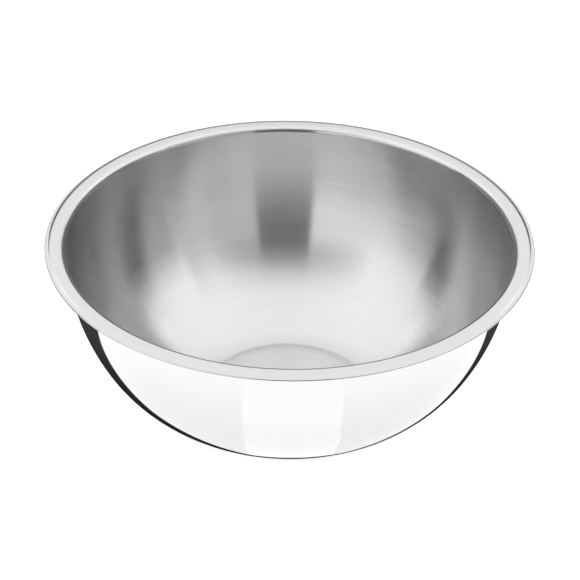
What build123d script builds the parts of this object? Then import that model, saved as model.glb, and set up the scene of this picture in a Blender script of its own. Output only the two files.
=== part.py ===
from build123d import *
import os
from math import cos, radians, sin

# Mixing bowl, 28 cm size. Millimetres, +Z up the bowl's axis, origin at the middle of the
# base's underside. The whole bowl is one drawn sheet: a flat base, a wall of two tangent
# arcs, a flat flange that steps down a little near its edge, and a hem folded under it.

# ---- driving dimensions ----
rim_radius = 150.0            # axis to the outermost point of the hem
bowl_height = 118.0           # table to the top of the flange
base_radius = 52.0            # the flat that the bowl stands on
rim_width = 12.6              # the wall's inside at the lip to the outermost point of the hem
sheet = 0.6                   # thickness of the sheet

base_bend = 11.0              # inside radius of the bend round the base
base_slope = 12.0             # wall's angle to the table where it leaves that bend, degrees
knee_slope = 62.0             # wall's angle where its lower and upper arcs meet, degrees
lip_slope = 89.0              # wall's angle where it reaches the lip, degrees

lip_bend = 3.4                # inside radius of the bend from wall to flange
step_slope = 30.0             # steepest angle of the step down from the flange, degrees
step_bend = 2.8               # inside radius of the step's two bends
ledge_width = 0.6             # level strip between the step and the hem's fold
hem_bend = 0.1                # inside radius of the hem's fold
hem_return = 1.2              # how far the folded edge runs back under the rim

# ---- derived dimensions, all on the sheet's upper face, the one that food touches ----
floor_height = sheet
mouth_radius = rim_radius - rim_width
lip_radius = lip_bend + sheet
crown_radius = step_bend + sheet                # the step's upper bend, round
hollow_radius = step_bend                       # the step's lower bend, hollow
hem_radius = hem_bend + sheet

lip_start_radius = mouth_radius + lip_radius * (1 - sin(radians(lip_slope)))
lip_start_height = bowl_height - lip_radius * (1 - cos(radians(lip_slope)))

step_run = (crown_radius + hollow_radius) * sin(radians(step_slope))
step_drop = (crown_radius + hollow_radius) * (1 - cos(radians(step_slope)))
fold_radius = rim_radius - hem_radius           # axis to the centre of the hem's fold
step_start_radius = fold_radius - ledge_width - step_run
ledge_height = bowl_height - step_drop


def wall_radii():
    """The radii of the wall's lower and upper arcs, which meet tangent at the knee.

    The three slopes fix every direction, so the run and the rise from the base's bend to
    the lip are two linear equations in the two radii, solved by Cramer's rule.
    """
    start, knee, end = radians(base_slope), radians(knee_slope), radians(lip_slope)
    run = lip_start_radius - base_radius - base_bend * sin(start)
    rise = lip_start_height - floor_height - base_bend * (1 - cos(start))
    lower_run, upper_run = sin(knee) - sin(start), sin(end) - sin(knee)
    lower_rise, upper_rise = cos(start) - cos(knee), cos(knee) - cos(end)
    determinant = lower_run * upper_rise - upper_run * lower_rise
    lower = (run * upper_rise - upper_run * rise) / determinant
    upper = (lower_run * rise - run * lower_rise) / determinant
    return lower, upper


lower_wall_radius, upper_wall_radius = wall_radii()

# Each bend of the sheet in order: its radius on the upper face, and how far it turns.
# A positive turn is hollow on the upper face, and a negative one is round on it.
wall_bends = [
    (base_bend, base_slope),
    (lower_wall_radius, knee_slope - base_slope),
    (upper_wall_radius, lip_slope - knee_slope),
    (lip_radius, -lip_slope),
]
step_bends = [
    (crown_radius, -step_slope),
    (hollow_radius, step_slope),
]
hem_bends = [(hem_radius, -180.0)]


def draw_bends(line, bends, depth):
    """Draws the bends one after another from the end of line, depth under the upper face."""
    for radius, turn in bends:
        bend_radius = radius + depth if turn > 0 else radius - depth
        line = JernArc(line @ 1, line % 1, bend_radius, turn)
    return line


def draw_face(depth):
    """Draws the whole line of the section that lies depth under the upper face.

    Returns its two ends: on the axis, and at the sheet's free edge under the rim.
    """
    height = floor_height - depth
    base = Line((0, height), (base_radius, height))
    wall = draw_bends(base, wall_bends, depth)
    flange = Line(wall @ 1, (step_start_radius, bowl_height - depth))
    step = draw_bends(flange, step_bends, depth)
    ledge = Line(step @ 1, (fold_radius, ledge_height - depth))
    fold = draw_bends(ledge, hem_bends, depth)
    turned_edge = Line(fold @ 1, (fold_radius - hem_return, (fold @ 1).Y))
    return base @ 0, turned_edge @ 1


# ---- bowl shell: the one pressed sheet ----
with BuildPart() as bowl_shell:
    with BuildSketch(Plane.XZ):
        with BuildLine():
            upper_axis, upper_edge = draw_face(0)
            under_axis, under_edge = draw_face(sheet)
            Line(upper_axis, under_axis)
            Line(upper_edge, under_edge)
        make_face()
    revolve(axis=Axis.Z)

bowl_shell.part.label = "bowl_shell"

os.makedirs("parts", exist_ok=True)
export_step(bowl_shell.part, "parts/bowl_shell.step")

print(f"wall radii {lower_wall_radius:.1f} and {upper_wall_radius:.1f} mm")
print(f"the step drops {step_drop:.2f} mm")
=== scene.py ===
import logging
import math
from dataclasses import dataclass, field
from enum import Enum

import bpy
from mathutils import Euler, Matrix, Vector


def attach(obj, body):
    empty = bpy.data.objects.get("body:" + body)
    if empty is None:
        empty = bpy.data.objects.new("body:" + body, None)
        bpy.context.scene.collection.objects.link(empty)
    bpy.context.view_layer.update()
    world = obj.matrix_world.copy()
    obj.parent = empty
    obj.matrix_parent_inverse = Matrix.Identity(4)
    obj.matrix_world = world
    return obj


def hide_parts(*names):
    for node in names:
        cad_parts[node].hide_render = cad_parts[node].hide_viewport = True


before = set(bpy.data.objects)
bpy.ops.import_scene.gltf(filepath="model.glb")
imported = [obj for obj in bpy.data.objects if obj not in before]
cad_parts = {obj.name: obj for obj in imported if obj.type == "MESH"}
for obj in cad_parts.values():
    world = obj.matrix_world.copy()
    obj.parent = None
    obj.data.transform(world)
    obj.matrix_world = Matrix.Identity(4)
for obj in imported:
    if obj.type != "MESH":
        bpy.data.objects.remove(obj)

log = logging.getLogger("mixing_bowl")

BODY = "root"
NODE = "bowl_shell"
MM = 0.001


# ---------------------------------------------------------------------------
# The sheet's section
# ---------------------------------------------------------------------------

class Zone(Enum):
    """The three stretches of the bowl's skin, each with its own finish."""

    INSIDE = "Inside"
    RIM = "Rim"
    OUTSIDE = "Outside"


@dataclass
class SectionPoint:
    """One point of the section: where it lies, and the way its face looks."""

    radius: float
    height: float
    out_radius: float
    out_height: float


@dataclass
class SectionPen:
    """Draws the upper face of the sheet as straights and round bends, from the axis out.

    The pen turns left, or hollow, for a positive angle. The sheet's face looks to its left.
    """

    radius: float
    height: float
    heading: float = 0.0
    points: list[SectionPoint] = field(default_factory=list)

    def mark(self) -> None:
        """Adds the place where the pen stands."""
        out_radius, out_height = -math.sin(self.heading), math.cos(self.heading)
        self.points.append(SectionPoint(self.radius, self.height, out_radius, out_height))

    def straight(self, radius: float, steps: int) -> None:
        """Draws level to a radius.

        Args:
            radius: where the straight ends.
            steps: how many pieces it is drawn in.
        """
        start = self.radius
        for step in range(1, steps + 1):
            self.radius = start + (radius - start) * step / steps
            self.mark()

    def bend(self, radius: float, turn: float, steps: int) -> None:
        """Draws a round bend.

        Args:
            radius: the bend's radius on this face.
            turn: how far it turns in degrees, positive to the left.
            steps: how many pieces it is drawn in.
        """
        side = math.copysign(1.0, turn)
        centre_radius = self.radius - side * radius * math.sin(self.heading)
        centre_height = self.height + side * radius * math.cos(self.heading)
        start = self.heading
        for step in range(1, steps + 1):
            self.heading = start + math.radians(turn) * step / steps
            self.radius = centre_radius + side * radius * math.sin(self.heading)
            self.height = centre_height - side * radius * math.cos(self.heading)
            self.mark()


@dataclass
class SheetSection:
    """Sizes of the pressed sheet, in metres and degrees, and the lines they give.

    The brushing runs up to brushed_lip of the lip's bend. The rim's satin finish goes from
    there to satin_hem of the hem's fold, and the polish takes over under the rim.
    """

    rim_radius: float = 150.0 * MM
    bowl_height: float = 118.0 * MM
    base_radius: float = 52.0 * MM
    rim_width: float = 12.6 * MM
    sheet: float = 0.6 * MM
    base_bend: float = 11.0 * MM
    base_slope: float = 12.0
    knee_slope: float = 62.0
    lip_slope: float = 89.0
    lip_bend: float = 3.4 * MM
    brushed_lip: float = 60.0
    step_slope: float = 30.0
    step_bend: float = 2.8 * MM
    hem_bend: float = 0.1 * MM
    hem_ledge: float = 0.6 * MM
    hem_return: float = 1.2 * MM
    satin_hem: float = 120.0

    @property
    def mouth_radius(self) -> float:
        """The inside of the wall at the lip."""
        return self.rim_radius - self.rim_width

    def wall_radii(self) -> tuple[float, float]:
        """Works out the wall's two arcs from its slopes, its run and its rise.

        Returns:
            The radii of the lower and the upper arc, on the upper face.
        """
        slopes = (self.base_slope, self.knee_slope, self.lip_slope)
        start, knee, end = (math.radians(slope) for slope in slopes)
        lip = self.lip_bend + self.sheet
        lip_radius = self.mouth_radius + lip * (1 - math.sin(end))
        lip_height = self.bowl_height - lip * (1 - math.cos(end))
        run = lip_radius - self.base_radius - self.base_bend * math.sin(start)
        rise = lip_height - self.sheet - self.base_bend * (1 - math.cos(start))
        lower_run, upper_run = math.sin(knee) - math.sin(start), math.sin(end) - math.sin(knee)
        lower_rise, upper_rise = math.cos(start) - math.cos(knee), math.cos(knee) - math.cos(end)
        determinant = lower_run * upper_rise - upper_run * lower_rise
        lower = (run * upper_rise - upper_run * rise) / determinant
        upper = (lower_run * rise - run * lower_rise) / determinant
        return lower, upper

    def lines(self) -> dict[Zone, list[SectionPoint]]:
        """Draws the whole section once round, as one line for each zone.

        Returns:
            The points of each zone in order. Each zone starts where the one before ends.
        """
        lower, upper = self.wall_radii()
        lip, hem = self.lip_bend + self.sheet, self.hem_bend + self.sheet
        crown, hollow = self.step_bend + self.sheet, self.step_bend
        step_run = (crown + hollow) * math.sin(math.radians(self.step_slope))
        fold_radius = self.rim_radius - hem
        step_start = fold_radius - self.hem_ledge - step_run

        pen = SectionPen(0.0, self.sheet)
        pen.mark()
        pen.straight(self.base_radius, steps=3)
        pen.bend(self.base_bend, self.base_slope, steps=8)
        pen.bend(lower, self.knee_slope - self.base_slope, steps=32)
        pen.bend(upper, self.lip_slope - self.knee_slope, steps=17)
        pen.bend(lip, -self.brushed_lip, steps=9)
        inside = pen.points

        pen.points = inside[-1:]
        pen.bend(lip, self.brushed_lip - self.lip_slope, steps=5)
        pen.straight(step_start, steps=3)
        pen.bend(crown, -self.step_slope, steps=8)
        pen.bend(hollow, self.step_slope, steps=8)
        pen.straight(fold_radius, steps=2)
        pen.bend(hem, -self.satin_hem, steps=16)
        rim = pen.points

        pen.points = rim[-1:]
        pen.bend(hem, self.satin_hem - 180.0, steps=8)
        pen.straight(fold_radius - self.hem_return, steps=2)
        turned_edge = pen.points
        under = [
            SectionPoint(
                point.radius - self.sheet * point.out_radius,
                point.height - self.sheet * point.out_height,
                -point.out_radius,
                -point.out_height,
            )
            for point in reversed(inside + rim[1:] + turned_edge[1:])
        ]
        return {Zone.INSIDE: inside, Zone.RIM: rim, Zone.OUTSIDE: turned_edge + under}


# ---------------------------------------------------------------------------
# Node helpers
# ---------------------------------------------------------------------------

@dataclass
class Wiring:
    """Adds and links the nodes of one tree, laid out left to right."""

    tree: bpy.types.NodeTree
    column: int = 0

    def add(self, kind: str, settings: dict | None = None, **values: object) -> bpy.types.Node:
        """Adds a node and fills in its inputs.

        Args:
            kind: the node's type.
            settings: the node's own properties.
            values: for each input, by its name with underscores for spaces, a number, a
                colour or the socket that feeds it.

        Returns:
            The node.
        """
        node = self.tree.nodes.new(kind)
        node.location = (220 * self.column, -120 * (self.column % 4))
        self.column += 1
        for name, value in (settings or {}).items():
            setattr(node, name, value)
        for name, value in values.items():
            self.feed(self.socket(node, name), value)
        return node

    @staticmethod
    def socket(node: bpy.types.Node, name: str) -> bpy.types.NodeSocket:
        """Finds an enabled input by its place, as in in_0, or by its name."""
        if name.startswith("in_"):
            return node.inputs[int(name[3:])]
        wanted = name.replace("_", " ").lower()
        return next(s for s in node.inputs if s.enabled and s.name.lower() == wanted)

    def feed(self, socket: bpy.types.NodeSocket, value: object) -> None:
        """Links a socket to another, or sets its value."""
        if isinstance(value, bpy.types.Node):
            value = value.outputs[0]
        if isinstance(value, bpy.types.NodeSocket):
            self.tree.links.new(value, socket)
        else:
            socket.default_value = value

    def math(self, operation: str, *terms: object) -> bpy.types.NodeSocket:
        """Adds a Math node with those terms and returns its result."""
        values = {f"in_{place}": term for place, term in enumerate(terms)}
        return self.add("ShaderNodeMath", {"operation": operation}, **values).outputs[0]

    def ramp(
        self, value: object, start: object, end: object, low: float = 0.0, high: float = 1.0
    ) -> bpy.types.NodeSocket:
        """Goes smoothly from low to high while the value passes from start to end."""
        node = self.add(
            "ShaderNodeMapRange",
            {"interpolation_type": "SMOOTHSTEP"},
            Value=value,
            From_Min=start,
            From_Max=end,
            To_Min=low,
            To_Max=high,
        )
        return node.outputs[0]

    def place(self) -> bpy.types.NodeSocket:
        """Adds the object's own coordinates."""
        return self.add("ShaderNodeTexCoord").outputs["Object"]

    def flatten(self, place: object) -> bpy.types.NodeSocket:
        """Sets the height of a place to zero."""
        node = self.add("ShaderNodeVectorMath", {"operation": "MULTIPLY"}, in_0=place, in_1=(1, 1, 0))
        return node.outputs[0]

    def radius(self, place: object) -> bpy.types.NodeSocket:
        """Finds how far a place is from the axis."""
        flat = self.flatten(place)
        node = self.add("ShaderNodeVectorMath", {"operation": "LENGTH"}, in_0=flat)
        return node.outputs["Value"]


def new_group(name: str, kind: str, inputs: dict[str, tuple], outputs: dict[str, str]) -> Wiring:
    """Makes a node group with named sockets.

    Args:
        name: the group's name.
        kind: its tree type.
        inputs: for each input, its socket type and, for a number, its default.
        outputs: for each output, its socket type.

    Returns:
        The wiring of the empty group.
    """
    tree = bpy.data.node_groups.new(name, kind)
    for label, (socket_type, *default) in inputs.items():
        socket = tree.interface.new_socket(label, in_out="INPUT", socket_type=socket_type)
        if default:
            socket.default_value = default[0]
    for label, socket_type in outputs.items():
        tree.interface.new_socket(label, in_out="OUTPUT", socket_type=socket_type)
    return Wiring(tree)


def new_material(name: str) -> tuple[bpy.types.Material, Wiring]:
    """Makes a material with no nodes.

    Args:
        name: the material's name.

    Returns:
        The material and the wiring of its empty tree.
    """
    material = bpy.data.materials.new(name)
    material.use_nodes = True
    material.node_tree.nodes.clear()
    return material, Wiring(material.node_tree)


# ---------------------------------------------------------------------------
# Effects shared by the finishes
# ---------------------------------------------------------------------------

def make_ring_marks_group() -> bpy.types.NodeTree:
    """Builds the marks that a wheel leaves on turning work: fine arcs round the axis.

    Returns:
        A group that puts out Lines, a value about 0.5 that changes quickly across the
        marks and slowly along them.
    """
    wiring = new_group(
        "Ring marks",
        "ShaderNodeTree",
        {
            "Pitch": ("NodeSocketFloat", 0.5 * MM),
            "Arc": ("NodeSocketFloat", 0.4),
            "Detail": ("NodeSocketFloat", 2.0),
        },
        {"Lines": "NodeSocketFloat"},
    )
    inputs = wiring.add("NodeGroupInput").outputs
    place = wiring.place()
    flat = wiring.flatten(place)
    around = wiring.add("ShaderNodeVectorMath", {"operation": "NORMALIZE"}, in_0=flat)
    around = wiring.add("ShaderNodeSeparateXYZ", in_0=around)
    height = wiring.add("ShaderNodeSeparateXYZ", in_0=place).outputs["Z"]
    across = wiring.math("DIVIDE", wiring.radius(place), inputs["Pitch"])
    up = wiring.math("DIVIDE", height, inputs["Pitch"])
    along_x = wiring.math("DIVIDE", around.outputs["X"], inputs["Arc"])
    along_y = wiring.math("DIVIDE", around.outputs["Y"], inputs["Arc"])
    spot = wiring.add("ShaderNodeCombineXYZ", X=across, Y=up, Z=along_x)
    noise = wiring.add(
        "ShaderNodeTexNoise",
        {"noise_dimensions": "4D"},
        Vector=spot,
        W=along_y,
        Scale=1.0,
        Detail=inputs["Detail"],
        Roughness=0.6,
    )
    wiring.add("NodeGroupOutput", Lines=noise.outputs[0])
    return wiring.tree


def make_handling_group() -> bpy.types.NodeTree:
    """Builds soft smudges, as wiping and hands leave them.

    Returns:
        A group that puts out Smudge, a mask from 0 to 1.
    """
    wiring = new_group(
        "Handling",
        "ShaderNodeTree",
        {"Size": ("NodeSocketFloat", 30.0 * MM), "Cover": ("NodeSocketFloat", 0.5)},
        {"Smudge": "NodeSocketFloat"},
    )
    inputs = wiring.add("NodeGroupInput").outputs
    noise = wiring.add(
        "ShaderNodeTexNoise",
        Vector=wiring.place(),
        Scale=wiring.math("DIVIDE", 1.0, inputs["Size"]),
        Detail=4.0,
        Roughness=0.55,
        Distortion=0.6,
    )
    start = wiring.math("SUBTRACT", 0.8, inputs["Cover"])
    mask = wiring.ramp(noise, start, wiring.math("ADD", start, 0.35))
    wiring.add("NodeGroupOutput", Smudge=mask)
    return wiring.tree


@dataclass(frozen=True)
class Effects:
    """The node groups that the finishes place."""

    ring_marks: bpy.types.NodeTree
    handling: bpy.types.NodeTree


# ---------------------------------------------------------------------------
# Finishes
# ---------------------------------------------------------------------------

BASE_EDGE = (43.0 * MM, 54.0 * MM)      # where the flat's rougher brushing and painted brightening fade into the wall's
FOOT_EDGE = (0.02 * MM, 0.3 * MM)       # heights between which the worn underside ends
SCUFF_TURNS = (20.0, 75.0, 140.0)       # directions of the scuffs, degrees
SCUFF_SCALE = (18.0, 900.0, 1.0)        # along a scuff, across it, and through the sheet
SCUFF_ROUGHNESS = 0.3
SCUFF_DEPTH = 2.0                       # against the depth of the wheel marks
BAND_PITCH = 24                         # width of the broad bands against the fine marks
BAND_ARC = 3.0
SMUDGE_SIZE = 38.0 * MM
SMUDGE_COVER = 0.32


@dataclass(frozen=True)
class SteelFinish:
    """How one zone of the stainless sheet is worked, and what its material needs.

    The wheel marks run round the axis. Brushing spreads a reflection across them, so the
    shader's tangent is turned a quarter from the radial one.

    The tone and the roughness change by the amounts given, on either side of their middle.
    The base values add to the flat in the middle of the bowl only: rougher brushing there, and a painted
    brightening of its colour for the brighter reflection it shows.
    """

    name: str
    colour: float
    tone_change: float
    roughness: float
    roughness_change: float
    smudge_roughness: float
    anisotropy: float
    pitch: float
    arc: float
    relief: float
    base_roughness: float = 0.0
    base_painted_brightening: float = 0.0
    foot_scuffs: bool = False

    def group(self, wiring: Wiring, tree: bpy.types.NodeTree, **values: object) -> bpy.types.NodeSocket:
        """Places a shared group and returns its only output."""
        return wiring.add("ShaderNodeGroup", {"node_tree": tree}, **values).outputs[0]

    def scale_change(
        self, wiring: Wiring, value: object, middle: float, change: float
    ) -> bpy.types.NodeSocket:
        """Turns a value about 0.5 into one about middle that changes by change."""
        return wiring.add(
            "ShaderNodeMapRange",
            {"clamp": False},
            Value=value,
            From_Min=0.25,
            From_Max=0.75,
            To_Min=middle - change,
            To_Max=middle + change,
        ).outputs[0]

    def base_mask(self, wiring: Wiring) -> bpy.types.NodeSocket:
        """Finds the flat in the middle: 1 on the base, 0 on the wall, with a soft edge."""
        return wiring.ramp(wiring.radius(wiring.place()), *BASE_EDGE, low=1.0, high=0.0)

    def foot_mask(self, wiring: Wiring) -> bpy.types.NodeSocket:
        """Finds the flat that slides on worktops: 1 on the base's underside, 0 above it."""
        height = wiring.add("ShaderNodeSeparateXYZ", in_0=wiring.place()).outputs["Z"]
        return wiring.ramp(height, *FOOT_EDGE, low=1.0, high=0.0)

    def scuffs(self, wiring: Wiring) -> bpy.types.NodeSocket:
        """Draws straight scuffs in a few directions, as sliding a bowl about leaves them."""
        place = wiring.place()
        total: object = 0.0
        for turn in SCUFF_TURNS:
            laid = wiring.add(
                "ShaderNodeMapping",
                Vector=place,
                Rotation=(0.0, 0.0, math.radians(turn)),
                Scale=SCUFF_SCALE,
            )
            noise = wiring.add("ShaderNodeTexNoise", Vector=laid, Scale=1.0, Detail=3.0, Roughness=0.7)
            line = wiring.add("ShaderNodeMapRange", Value=noise, From_Min=0.6, From_Max=0.72)
            total = wiring.math("MAXIMUM", total, line)
        return total

    def make(self, effects: Effects) -> bpy.types.Material:
        """Builds the material.

        Args:
            effects: the shared groups.

        Returns:
            The finished material.
        """
        material, wiring = new_material(self.name)
        marks = self.group(wiring, effects.ring_marks, Pitch=self.pitch, Arc=self.arc)
        bands = self.group(
            wiring, effects.ring_marks, Pitch=BAND_PITCH * self.pitch, Arc=BAND_ARC, Detail=1.0
        )
        smudge = self.group(wiring, effects.handling, Size=SMUDGE_SIZE, Cover=SMUDGE_COVER)

        tone = self.scale_change(wiring, marks, self.colour, self.tone_change)
        roughness = self.scale_change(wiring, marks, self.roughness, self.roughness_change)
        band_roughness = self.scale_change(wiring, bands, 0.0, self.roughness_change)
        roughness = wiring.math("ADD", roughness, band_roughness)
        roughness = wiring.math("ADD", roughness, wiring.math("MULTIPLY", smudge, self.smudge_roughness))
        if self.base_roughness:
            base = self.base_mask(wiring)
            # painted brightening: lifts the flat base's colour to stand in for the brighter reflection
            # it shows
            tone = wiring.math("ADD", tone, wiring.math("MULTIPLY", base, self.base_painted_brightening))
            roughness = wiring.math("ADD", roughness, wiring.math("MULTIPLY", base, self.base_roughness))
        height: object = marks
        if self.foot_scuffs:
            worn = wiring.math("MULTIPLY", self.foot_mask(wiring), self.scuffs(wiring))
            roughness = wiring.math("ADD", roughness, wiring.math("MULTIPLY", worn, SCUFF_ROUGHNESS))
            height = wiring.math("SUBTRACT", marks, wiring.math("MULTIPLY", worn, SCUFF_DEPTH))
        colour = wiring.add("ShaderNodeCombineColor", Red=tone, Green=tone, Blue=tone)
        bump = wiring.add("ShaderNodeBump", Strength=1.0, Distance=self.relief, Height=height)
        tangent = wiring.add("ShaderNodeTangent", {"direction_type": "RADIAL", "axis": "Z"})

        shader = wiring.add("ShaderNodeBsdfPrincipled", Metallic=1.0)
        shader.inputs["Anisotropic"].default_value = self.anisotropy
        shader.inputs["Anisotropic Rotation"].default_value = 0.25
        wiring.feed(shader.inputs["Base Color"], colour)
        wiring.feed(shader.inputs["Roughness"], roughness)
        wiring.feed(shader.inputs["Normal"], bump)
        wiring.feed(shader.inputs["Tangent"], tangent)
        wiring.add("ShaderNodeOutputMaterial", Surface=shader)
        return material


FINISHES: dict[Zone, SteelFinish] = {
    Zone.INSIDE: SteelFinish(
        name="brushed_inside",
        colour=0.665,
        tone_change=0.03,
        roughness=0.22,
        roughness_change=0.015,
        smudge_roughness=0.01,
        anisotropy=1.0,
        base_roughness=0.16,
        # painted brightening of the flat base's colour
        base_painted_brightening=0.12,
        pitch=0.45 * MM,
        arc=0.35,
        relief=0.004 * MM,
    ),
    Zone.RIM: SteelFinish(
        name="satin_rim",
        colour=0.585,
        tone_change=0.02,
        roughness=0.22,
        roughness_change=0.02,
        smudge_roughness=0.02,
        anisotropy=0.5,
        pitch=0.35 * MM,
        arc=0.5,
        relief=0.002 * MM,
    ),
    Zone.OUTSIDE: SteelFinish(
        name="mirror_outside",
        colour=0.62,
        tone_change=0.01,
        roughness=0.035,
        roughness_change=0.01,
        smudge_roughness=0.03,
        anisotropy=0.0,
        pitch=0.6 * MM,
        arc=0.6,
        relief=0.00005 * MM,
        foot_scuffs=True,
    ),
}


# ---------------------------------------------------------------------------
# The bowl
# ---------------------------------------------------------------------------

@dataclass
class BowlShell:
    """The whole bowl: one sheet, pressed, brushed, polished and hemmed at its edge."""

    section: SheetSection
    sides: int = 384
    weld: float = 0.001 * MM
    sharp_corner: float = math.radians(50)

    def section_object(self, zone: Zone, points: list[SectionPoint]) -> bpy.types.Object:
        """Makes a zone's line as loose points in order, each with the way its face looks."""
        mesh = bpy.data.meshes.new(f"{zone.value} section")
        mesh.from_pydata([(p.radius, 0.0, p.height) for p in points], [], [])
        out = mesh.attributes.new("out", "FLOAT_VECTOR", "POINT")
        for slot, point in zip(out.data, points):
            slot.vector = (point.out_radius, 0.0, point.out_height)
        line = bpy.data.objects.new(f"{zone.value} section", mesh)
        bpy.context.scene.collection.objects.link(line)
        return line

    def turned_strip_group(self) -> bpy.types.NodeTree:
        """Builds the group that turns one line round the axis.

        Returns:
            A group that takes Line, Sides and Zone. Its Strip is a grid, one row to each
            point of the line, with the face's direction and the zone's number stored.
        """
        wiring = new_group(
            "Turned strip",
            "GeometryNodeTree",
            {
                "Line": ("NodeSocketGeometry",),
                "Sides": ("NodeSocketInt", 64),
                "Zone": ("NodeSocketInt", 0),
            },
            {"Strip": "NodeSocketGeometry"},
        )
        inputs = wiring.add("NodeGroupInput").outputs
        line, sides = inputs["Line"], inputs["Sides"]
        count = wiring.add("GeometryNodeAttributeDomainSize", Geometry=line).outputs["Point Count"]
        columns = wiring.math("ADD", sides, 1.0)
        grid = wiring.add(
            "GeometryNodeMeshGrid", Size_X=1.0, Size_Y=1.0, Vertices_X=count, Vertices_Y=columns
        ).outputs["Mesh"]
        index = wiring.add("GeometryNodeInputIndex").outputs[0]
        row = wiring.math("FLOOR", wiring.math("DIVIDE", wiring.math("ADD", index, 0.5), columns))
        column = wiring.math("SUBTRACT", index, wiring.math("MULTIPLY", row, columns))
        turn = wiring.math("MULTIPLY", wiring.math("DIVIDE", column, sides), math.tau)
        turned = []
        for field_node in (
            wiring.add("GeometryNodeInputPosition").outputs[0],
            wiring.add(
                "GeometryNodeInputNamedAttribute", {"data_type": "FLOAT_VECTOR"}, Name="out"
            ).outputs[0],
        ):
            picked = wiring.add(
                "GeometryNodeSampleIndex",
                {"data_type": "FLOAT_VECTOR", "domain": "POINT"},
                Geometry=line,
                Value=field_node,
                Index=row,
            ).outputs[0]
            spun = wiring.add(
                "ShaderNodeVectorRotate",
                {"rotation_type": "Z_AXIS"},
                Vector=picked,
                Center=(0, 0, 0),
                Angle=turn,
            )
            turned.append(spun.outputs[0])
        placed = wiring.add("GeometryNodeSetPosition", Geometry=grid, Position=turned[0])
        facing = wiring.add(
            "GeometryNodeStoreNamedAttribute",
            {"data_type": "FLOAT_VECTOR", "domain": "POINT"},
            Geometry=placed,
            Name="out",
            Value=turned[1],
        )
        zoned = wiring.add(
            "GeometryNodeStoreNamedAttribute",
            {"data_type": "INT", "domain": "FACE"},
            Geometry=facing,
            Name="zone",
            Value=inputs["Zone"],
        )
        wiring.add("NodeGroupOutput", Strip=zoned)
        return wiring.tree

    def turned_shell_group(self) -> bpy.types.NodeTree:
        """Builds the tree that turns all three lines, welds them and gives each its finish.

        Returns:
            A tree with a line and a finish for each zone, Sides, Weld and Sharp corner.
        """
        sockets: dict[str, tuple] = {"Geometry": ("NodeSocketGeometry",)}
        for zone in Zone:
            sockets[f"{zone.value} line"] = ("NodeSocketObject",)
            sockets[f"{zone.value} finish"] = ("NodeSocketMaterial",)
        sockets["Sides"] = ("NodeSocketInt", 64)
        sockets["Weld"] = ("NodeSocketFloat", 0.001 * MM)
        sockets["Sharp corner"] = ("NodeSocketFloat", 0.8)
        wiring = new_group(
            "Turned shell", "GeometryNodeTree", sockets, {"Geometry": "NodeSocketGeometry"}
        )
        inputs = wiring.add("NodeGroupInput").outputs
        strip_group = self.turned_strip_group()
        join = wiring.add("GeometryNodeJoinGeometry")
        for number, zone in reversed(list(enumerate(Zone))):
            line = wiring.add("GeometryNodeObjectInfo", Object=inputs[f"{zone.value} line"])
            strip = wiring.add(
                "GeometryNodeGroup",
                {"node_tree": strip_group},
                Line=line.outputs["Geometry"],
                Sides=inputs["Sides"],
                Zone=number,
            )
            wiring.tree.links.new(strip.outputs[0], join.inputs[0])
        welded = wiring.add("GeometryNodeMergeByDistance", Geometry=join, Distance=inputs["Weld"])
        smooth = wiring.add("GeometryNodeSetShadeSmooth", {"domain": "FACE"}, Geometry=welded)
        angle = wiring.add("GeometryNodeInputMeshEdgeAngle").outputs["Unsigned Angle"]
        blunt = wiring.math("LESS_THAN", angle, inputs["Sharp corner"])
        creased = wiring.add(
            "GeometryNodeSetShadeSmooth", {"domain": "EDGE"}, Geometry=smooth, Shade_Smooth=blunt
        )
        shell = wiring.add("GeometryNodeRealizeInstances", Geometry=creased)
        number_of = wiring.add(
            "GeometryNodeInputNamedAttribute", {"data_type": "INT"}, Name="zone"
        ).outputs[0]
        for number, zone in enumerate(Zone):
            chosen = wiring.math("COMPARE", number_of, float(number), 0.5)
            shell = wiring.add(
                "GeometryNodeSetMaterial",
                Geometry=shell,
                Selection=chosen,
                Material=inputs[f"{zone.value} finish"],
            )
        wiring.add("NodeGroupOutput", Geometry=shell)
        return wiring.tree

    def build(self, finishes: dict[Zone, bpy.types.Material]) -> bpy.types.Object:
        """Turns the section into one plain closed mesh.

        Args:
            finishes: the material of each zone.

        Returns:
            The bowl's object, at the origin.
        """
        lines = {
            zone: self.section_object(zone, points) for zone, points in self.section.lines().items()
        }
        maker = bpy.data.objects.new("bowl maker", bpy.data.meshes.new("bowl maker"))
        bpy.context.scene.collection.objects.link(maker)
        modifier = maker.modifiers.new("Turned shell", "NODES")
        modifier.node_group = self.turned_shell_group()
        values = {"Sides": self.sides, "Weld": self.weld, "Sharp corner": self.sharp_corner}
        for zone in Zone:
            values[f"{zone.value} line"] = lines[zone]
            values[f"{zone.value} finish"] = finishes[zone]
        for item in modifier.node_group.interface.items_tree:
            if item.in_out == "INPUT" and item.name in values:
                modifier[item.identifier] = values[item.name]
        evaluated = maker.evaluated_get(bpy.context.evaluated_depsgraph_get())
        mesh = bpy.data.meshes.new_from_object(evaluated)
        mesh.name = "pressed_bowl"
        for scrap in (maker, *lines.values()):
            bpy.data.objects.remove(scrap)
        self.set_true_normals(mesh)
        bowl = bpy.data.objects.new("pressed_bowl", mesh)
        bpy.context.scene.collection.objects.link(bowl)
        return bowl

    def set_true_normals(self, mesh: bpy.types.Mesh) -> None:
        """Gives each corner the section's own direction, except at the sheet's cut edge."""
        facing = [Vector(item.vector) for item in mesh.attributes["out"].data]
        normals = []
        for face in mesh.polygons:
            for vertex in face.vertices:
                own = facing[vertex]
                blunt = own.length > 0.5 and own.angle(face.normal) < self.sharp_corner
                normals.append(own if blunt else face.normal)
        mesh.normals_split_custom_set([tuple(n) for n in normals])
        mesh.attributes.remove(mesh.attributes["out"])
        mesh.attributes.remove(mesh.attributes["zone"])


# ---------------------------------------------------------------------------
# The studio
# ---------------------------------------------------------------------------

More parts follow.
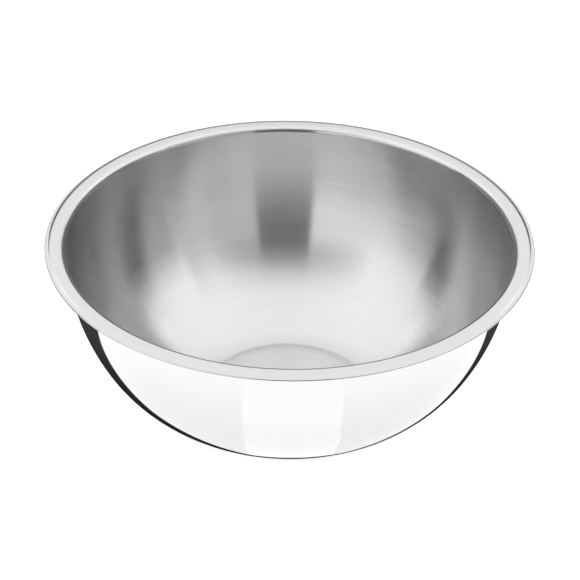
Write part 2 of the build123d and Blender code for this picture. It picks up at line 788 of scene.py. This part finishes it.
@dataclass(frozen=True)
class WallPanel:
    """A curved glowing panel that stands round the bowl. Azimuth 0 is the camera's side."""

    name: str
    azimuths: tuple[float, float]
    elevations: tuple[float, float]
    strength: float

    def corners(self, radius: float, centre_height: float, steps: int) -> list[tuple]:
        """Places the panel's corners.

        Args:
            radius: how far the panel stands from the axis.
            centre_height: the height that elevations are measured from.
            steps: how many flat pieces the panel has.

        Returns:
            The lower and the upper corner at each step in turn.
        """
        start, end = self.azimuths
        corners = []
        for step in range(steps + 1):
            azimuth = math.radians(start + (end - start) * step / steps)
            for elevation in self.elevations:
                height = radius * math.tan(math.radians(elevation)) + centre_height
                corners.append((radius * math.sin(azimuth), -radius * math.cos(azimuth), height))
        return corners


WALL_PANELS = (
    WallPanel("left_panel", (-94.0, -13.0), (10.0, 38.0), 1.3),
    WallPanel("right_panel", (20.0, 73.0), (10.0, 38.0), 0.68),
    WallPanel("right_upper_panel", (57.0, 76.0), (38.0, 48.0), 0.7),
    WallPanel("rear_left_panel", (-140.0, -116.0), (26.0, 38.0), 1.7),
    WallPanel("rear_right_panel", (116.0, 140.0), (26.0, 38.0), 1.7),
)


@dataclass(frozen=True)
class FloorShade:
    """How the floor looks in reflections: a dark card behind the bowl with painted shadow round its
    base, darkest at its foot, paler far off, clear in front.

    The line where the shade starts bulges round the bowl's base, and it gets softer with
    the distance. Each pair of levels is reached between the two places before it.
    """

    start: float = 0.0065
    slope: float = 0.0685
    bulge_depth: float = 0.0868
    bulge_width: float = 0.138
    bulge_power: float = 2.8
    soft_places: tuple[float, float] = (0.25, 1.25)
    soft_levels: tuple[float, float] = (0.002, 0.5)
    painted_contact_shadow: tuple[float, float] = (0.082, 0.086)
    near_shadow_places: tuple[float, float] = (0.10, 0.20)
    near_shadow_levels: tuple[float, float] = (0.02, 0.055)
    back_places: tuple[float, float] = (0.08, 0.40)
    far_places: tuple[float, float] = (0.24, 1.2)
    added: float = 0.5
    front_places: tuple[float, float] = (0.27, 0.7)
    front_glow: float = 1.2

    def front_line(self, wiring: Wiring, aside: object) -> bpy.types.NodeSocket:
        """Works out how far back the shade starts, for a distance to the side."""
        share = wiring.math("DIVIDE", wiring.math("ABSOLUTE", aside), self.bulge_width)
        power = wiring.math("POWER", share, self.bulge_power)
        bulge = wiring.math("EXPONENT", wiring.math("MULTIPLY", power, -1.0))
        line = wiring.math("MULTIPLY_ADD", aside, self.slope, self.start)
        return wiring.math("SUBTRACT", line, wiring.math("MULTIPLY", bulge, self.bulge_depth))

    def make(self) -> bpy.types.Material:
        """Builds the material.

        Returns:
            A glow that is clear wherever the floor's own light is reflected.
        """
        material, wiring = new_material("floor_shade")
        place = wiring.place()
        radius = wiring.radius(place)
        spot = wiring.add("ShaderNodeSeparateXYZ", in_0=place).outputs
        past_line = wiring.math("SUBTRACT", spot["Y"], self.front_line(wiring, spot["X"]))
        softness = wiring.ramp(radius, *self.soft_places, *self.soft_levels)
        behind = wiring.ramp(past_line, wiring.math("MULTIPLY", softness, -1.0), softness)
        # painted contact shadow: a dark ring right round the base's edge
        painted_contact_shadow = wiring.ramp(radius, *self.painted_contact_shadow, low=1.0, high=0.0)
        behind = wiring.math("MAXIMUM", behind, painted_contact_shadow)

        # painted shadow: the dark card is darkest near the bowl and lighter further out
        dark = wiring.ramp(radius, *self.near_shadow_places, *self.near_shadow_levels)
        dark = wiring.math("ADD", dark, wiring.ramp(spot["Y"], *self.back_places, high=self.added))
        dark = wiring.math("ADD", dark, wiring.ramp(radius, *self.far_places, high=self.added))
        pale = wiring.math("MULTIPLY", wiring.math("SUBTRACT", 1.0, behind), self.front_glow)
        strength = wiring.math("ADD", wiring.math("MULTIPLY", behind, dark), pale)
        cover = wiring.math("MAXIMUM", behind, wiring.ramp(radius, *self.front_places))
        glow = wiring.add("ShaderNodeEmission", Strength=strength)
        clear = wiring.add("ShaderNodeBsdfTransparent")
        mixed = wiring.add("ShaderNodeMixShader", in_0=cover, in_1=clear, in_2=glow)
        wiring.add("ShaderNodeOutputMaterial", Surface=mixed)
        return material


@dataclass(frozen=True)
class CameraPlace:
    """Where the camera stands and what it aims at, in metres and degrees."""

    elevation: float = 33.32
    distance: float = 1.3
    lens: float = 129.25
    sensor: float = 36.0
    roll: float = 0.866
    aim_height: float = 0.07855
    aim_side: float = 0.0006


@dataclass
class Studio:
    """A pale floor, soft panels that only reflections and the floor see, and the camera."""

    centre_height: float
    camera: CameraPlace = CameraPlace()
    floor_radius: float = 6.0
    floor_height: float = -0.2 * MM
    floor_glow: float = 0.78
    far_floor: tuple[float, float] = (0.8, 3.0)
    wall_radius: float = 1.6
    ceiling_side: float = 3.1
    ceiling_front: float = -0.88
    ceiling_back: float = 3.6
    ceiling_height: float = 1.5
    ceiling_glow: float = 1.34
    shade_height: float = -0.05 * MM
    wedge_height: float = -0.1 * MM
    wedge_azimuths: tuple[float, float] = (-16.5, 20.5)
    wedge_radii: tuple[float, float] = (0.05, 1.2)
    wedge_places: tuple[float, float] = (0.10, 0.18)
    wedge_glow: tuple[float, float] = (1.42, 1.57)
    room_glow: float = 0.024

    def glow_material(self, name: str, strength: float) -> bpy.types.Material:
        """Makes an even glow of that strength."""
        material, wiring = new_material(name)
        glow = wiring.add("ShaderNodeEmission", Strength=strength)
        wiring.add("ShaderNodeOutputMaterial", Surface=glow)
        return material

    def stage_mesh(
        self, name: str, corners: list[tuple], faces: list[list[int]], material: bpy.types.Material
    ) -> bpy.types.Object:
        """Makes a stage object out of corners and faces."""
        mesh = bpy.data.meshes.new(name)
        mesh.from_pydata(corners, [], faces)
        mesh.materials.append(material)
        thing = bpy.data.objects.new(name, mesh)
        bpy.context.scene.collection.objects.link(thing)
        return thing

    def ring(self, count: int, height: float) -> list[tuple]:
        """Places points round the floor's edge."""
        turns = [math.tau * step / count for step in range(count)]
        radius = self.floor_radius
        return [(radius * math.cos(turn), radius * math.sin(turn), height) for turn in turns]

    def add_floor(self) -> None:
        """Lays the pale floor. Far off it glows as much as the background behind it."""
        material, wiring = new_material("pale_floor")
        radius = wiring.radius(wiring.place())
        glow = wiring.ramp(radius, *self.far_floor, low=self.floor_glow)
        pale = (0.85, 0.85, 0.85, 1)
        shader = wiring.add("ShaderNodeBsdfPrincipled", Base_Color=pale, Roughness=0.9)
        shader.inputs["Specular IOR Level"].default_value = 0.0
        shader.inputs["Emission Color"].default_value = (1, 1, 1, 1)
        wiring.feed(shader.inputs["Emission Strength"], glow)
        wiring.add("ShaderNodeOutputMaterial", Surface=shader)
        count = 128
        self.stage_mesh("floor", self.ring(count, self.floor_height), [list(range(count))], material)

    def add_wall_panel(self, panel: WallPanel) -> None:
        """Stands one panel round the bowl."""
        steps = 24
        corners = panel.corners(self.wall_radius, self.centre_height, steps)
        faces = [[2 * step, 2 * step + 1, 2 * step + 3, 2 * step + 2] for step in range(steps)]
        glow = self.glow_material(panel.name, panel.strength)
        self.stage_mesh(panel.name, corners, faces, glow).visible_camera = False

    def add_ceiling(self) -> None:
        """Hangs a level glowing panel over the bowl."""
        side, front, back = self.ceiling_side, self.ceiling_front, self.ceiling_back
        outline = [(-side, front), (side, front), (side, back), (-side, back)]
        corners = [(x, y, self.ceiling_height) for x, y in outline]
        glow = self.glow_material("overhead_panel", self.ceiling_glow)
        self.stage_mesh("overhead_panel", corners, [[0, 1, 2, 3]], glow).visible_camera = False

    def add_floor_card(self, name: str, corners: list[tuple], material: bpy.types.Material) -> None:
        """Lays a flat card on the floor that only reflections see."""
        card = self.stage_mesh(name, corners, [list(range(len(corners)))], material)
        card.visible_camera = False
        card.visible_diffuse = False
        card.visible_shadow = False

    def add_front_wedge(self) -> None:
        """Lays a glowing wedge in front, a painted pool of light where both side panels reach the floor.
        """
        material, wiring = new_material("front_wedge")
        radius = wiring.radius(wiring.place())
        # painted shade: the wedge glows less close to the bowl
        strength = wiring.ramp(radius, *self.wedge_places, *self.wedge_glow)
        glow = wiring.add("ShaderNodeEmission", Strength=strength)
        wiring.add("ShaderNodeOutputMaterial", Surface=glow)
        (near, far), (left, right) = self.wedge_radii, self.wedge_azimuths
        corners = []
        for distance, azimuth in ((near, left), (far, left), (far, right), (near, right)):
            turn = math.radians(azimuth)
            x, y = distance * math.sin(turn), -distance * math.cos(turn)
            corners.append((x, y, self.wedge_height))
        self.add_floor_card("front_wedge", corners, material)

    def add_world(self) -> None:
        """Sets a white background for the camera and a dim room for reflections."""
        world = bpy.data.worlds.new("studio")
        bpy.context.scene.world = world
        world.use_nodes = True
        world.node_tree.nodes.clear()
        wiring = Wiring(world.node_tree)
        seen = wiring.add("ShaderNodeLightPath").outputs["Is Camera Ray"]
        strength = wiring.add("ShaderNodeMapRange", Value=seen, To_Min=self.room_glow, To_Max=1.0)
        sky = wiring.add("ShaderNodeBackground", Color=(1, 1, 1, 1), Strength=strength)
        wiring.add("ShaderNodeOutputWorld", Surface=sky)

    def add_camera(self) -> None:
        """Sets the camera at the object's front, above it."""
        place = self.camera
        data = bpy.data.cameras.new("camera")
        data.lens = place.lens
        data.sensor_width = place.sensor
        data.clip_start, data.clip_end = 0.01, 50.0
        camera = bpy.data.objects.new("camera", data)
        bpy.context.scene.collection.objects.link(camera)
        elevation = math.radians(place.elevation)
        back = Vector((0, -math.cos(elevation), math.sin(elevation)))
        camera.location = Vector((place.aim_side, 0, place.aim_height)) + back * place.distance
        roll = Euler((0, 0, math.radians(place.roll))).to_quaternion()
        camera.rotation_mode = "QUATERNION"
        camera.rotation_quaternion = (-back).to_track_quat("-Z", "Y") @ roll
        bpy.context.scene.camera = camera

    def build(self) -> None:
        """Sets up everything round the bowl."""
        self.add_camera()
        self.add_floor()
        self.add_ceiling()
        for panel in WALL_PANELS:
            self.add_wall_panel(panel)
        shade_outline = self.ring(96, self.shade_height)
        self.add_floor_card("floor_shade", shade_outline, FloorShade().make())
        self.add_front_wedge()
        self.add_world()
        bpy.context.scene.view_settings.view_transform = "Standard"


def main() -> None:
    """Builds the bowl and its studio."""
    logging.basicConfig(level=logging.INFO, format="%(name)s: %(message)s")
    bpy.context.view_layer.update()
    section = SheetSection()
    effects = Effects(ring_marks=make_ring_marks_group(), handling=make_handling_group())
    finishes = {zone: finish.make(effects) for zone, finish in FINISHES.items()}
    bowl = BowlShell(section).build(finishes)
    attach(bowl, BODY)
    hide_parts(NODE)
    log.info("%s: %d faces", bowl.name, len(bowl.data.polygons))
    Studio(centre_height=section.bowl_height).build()


if __name__ == "__main__":
    main()
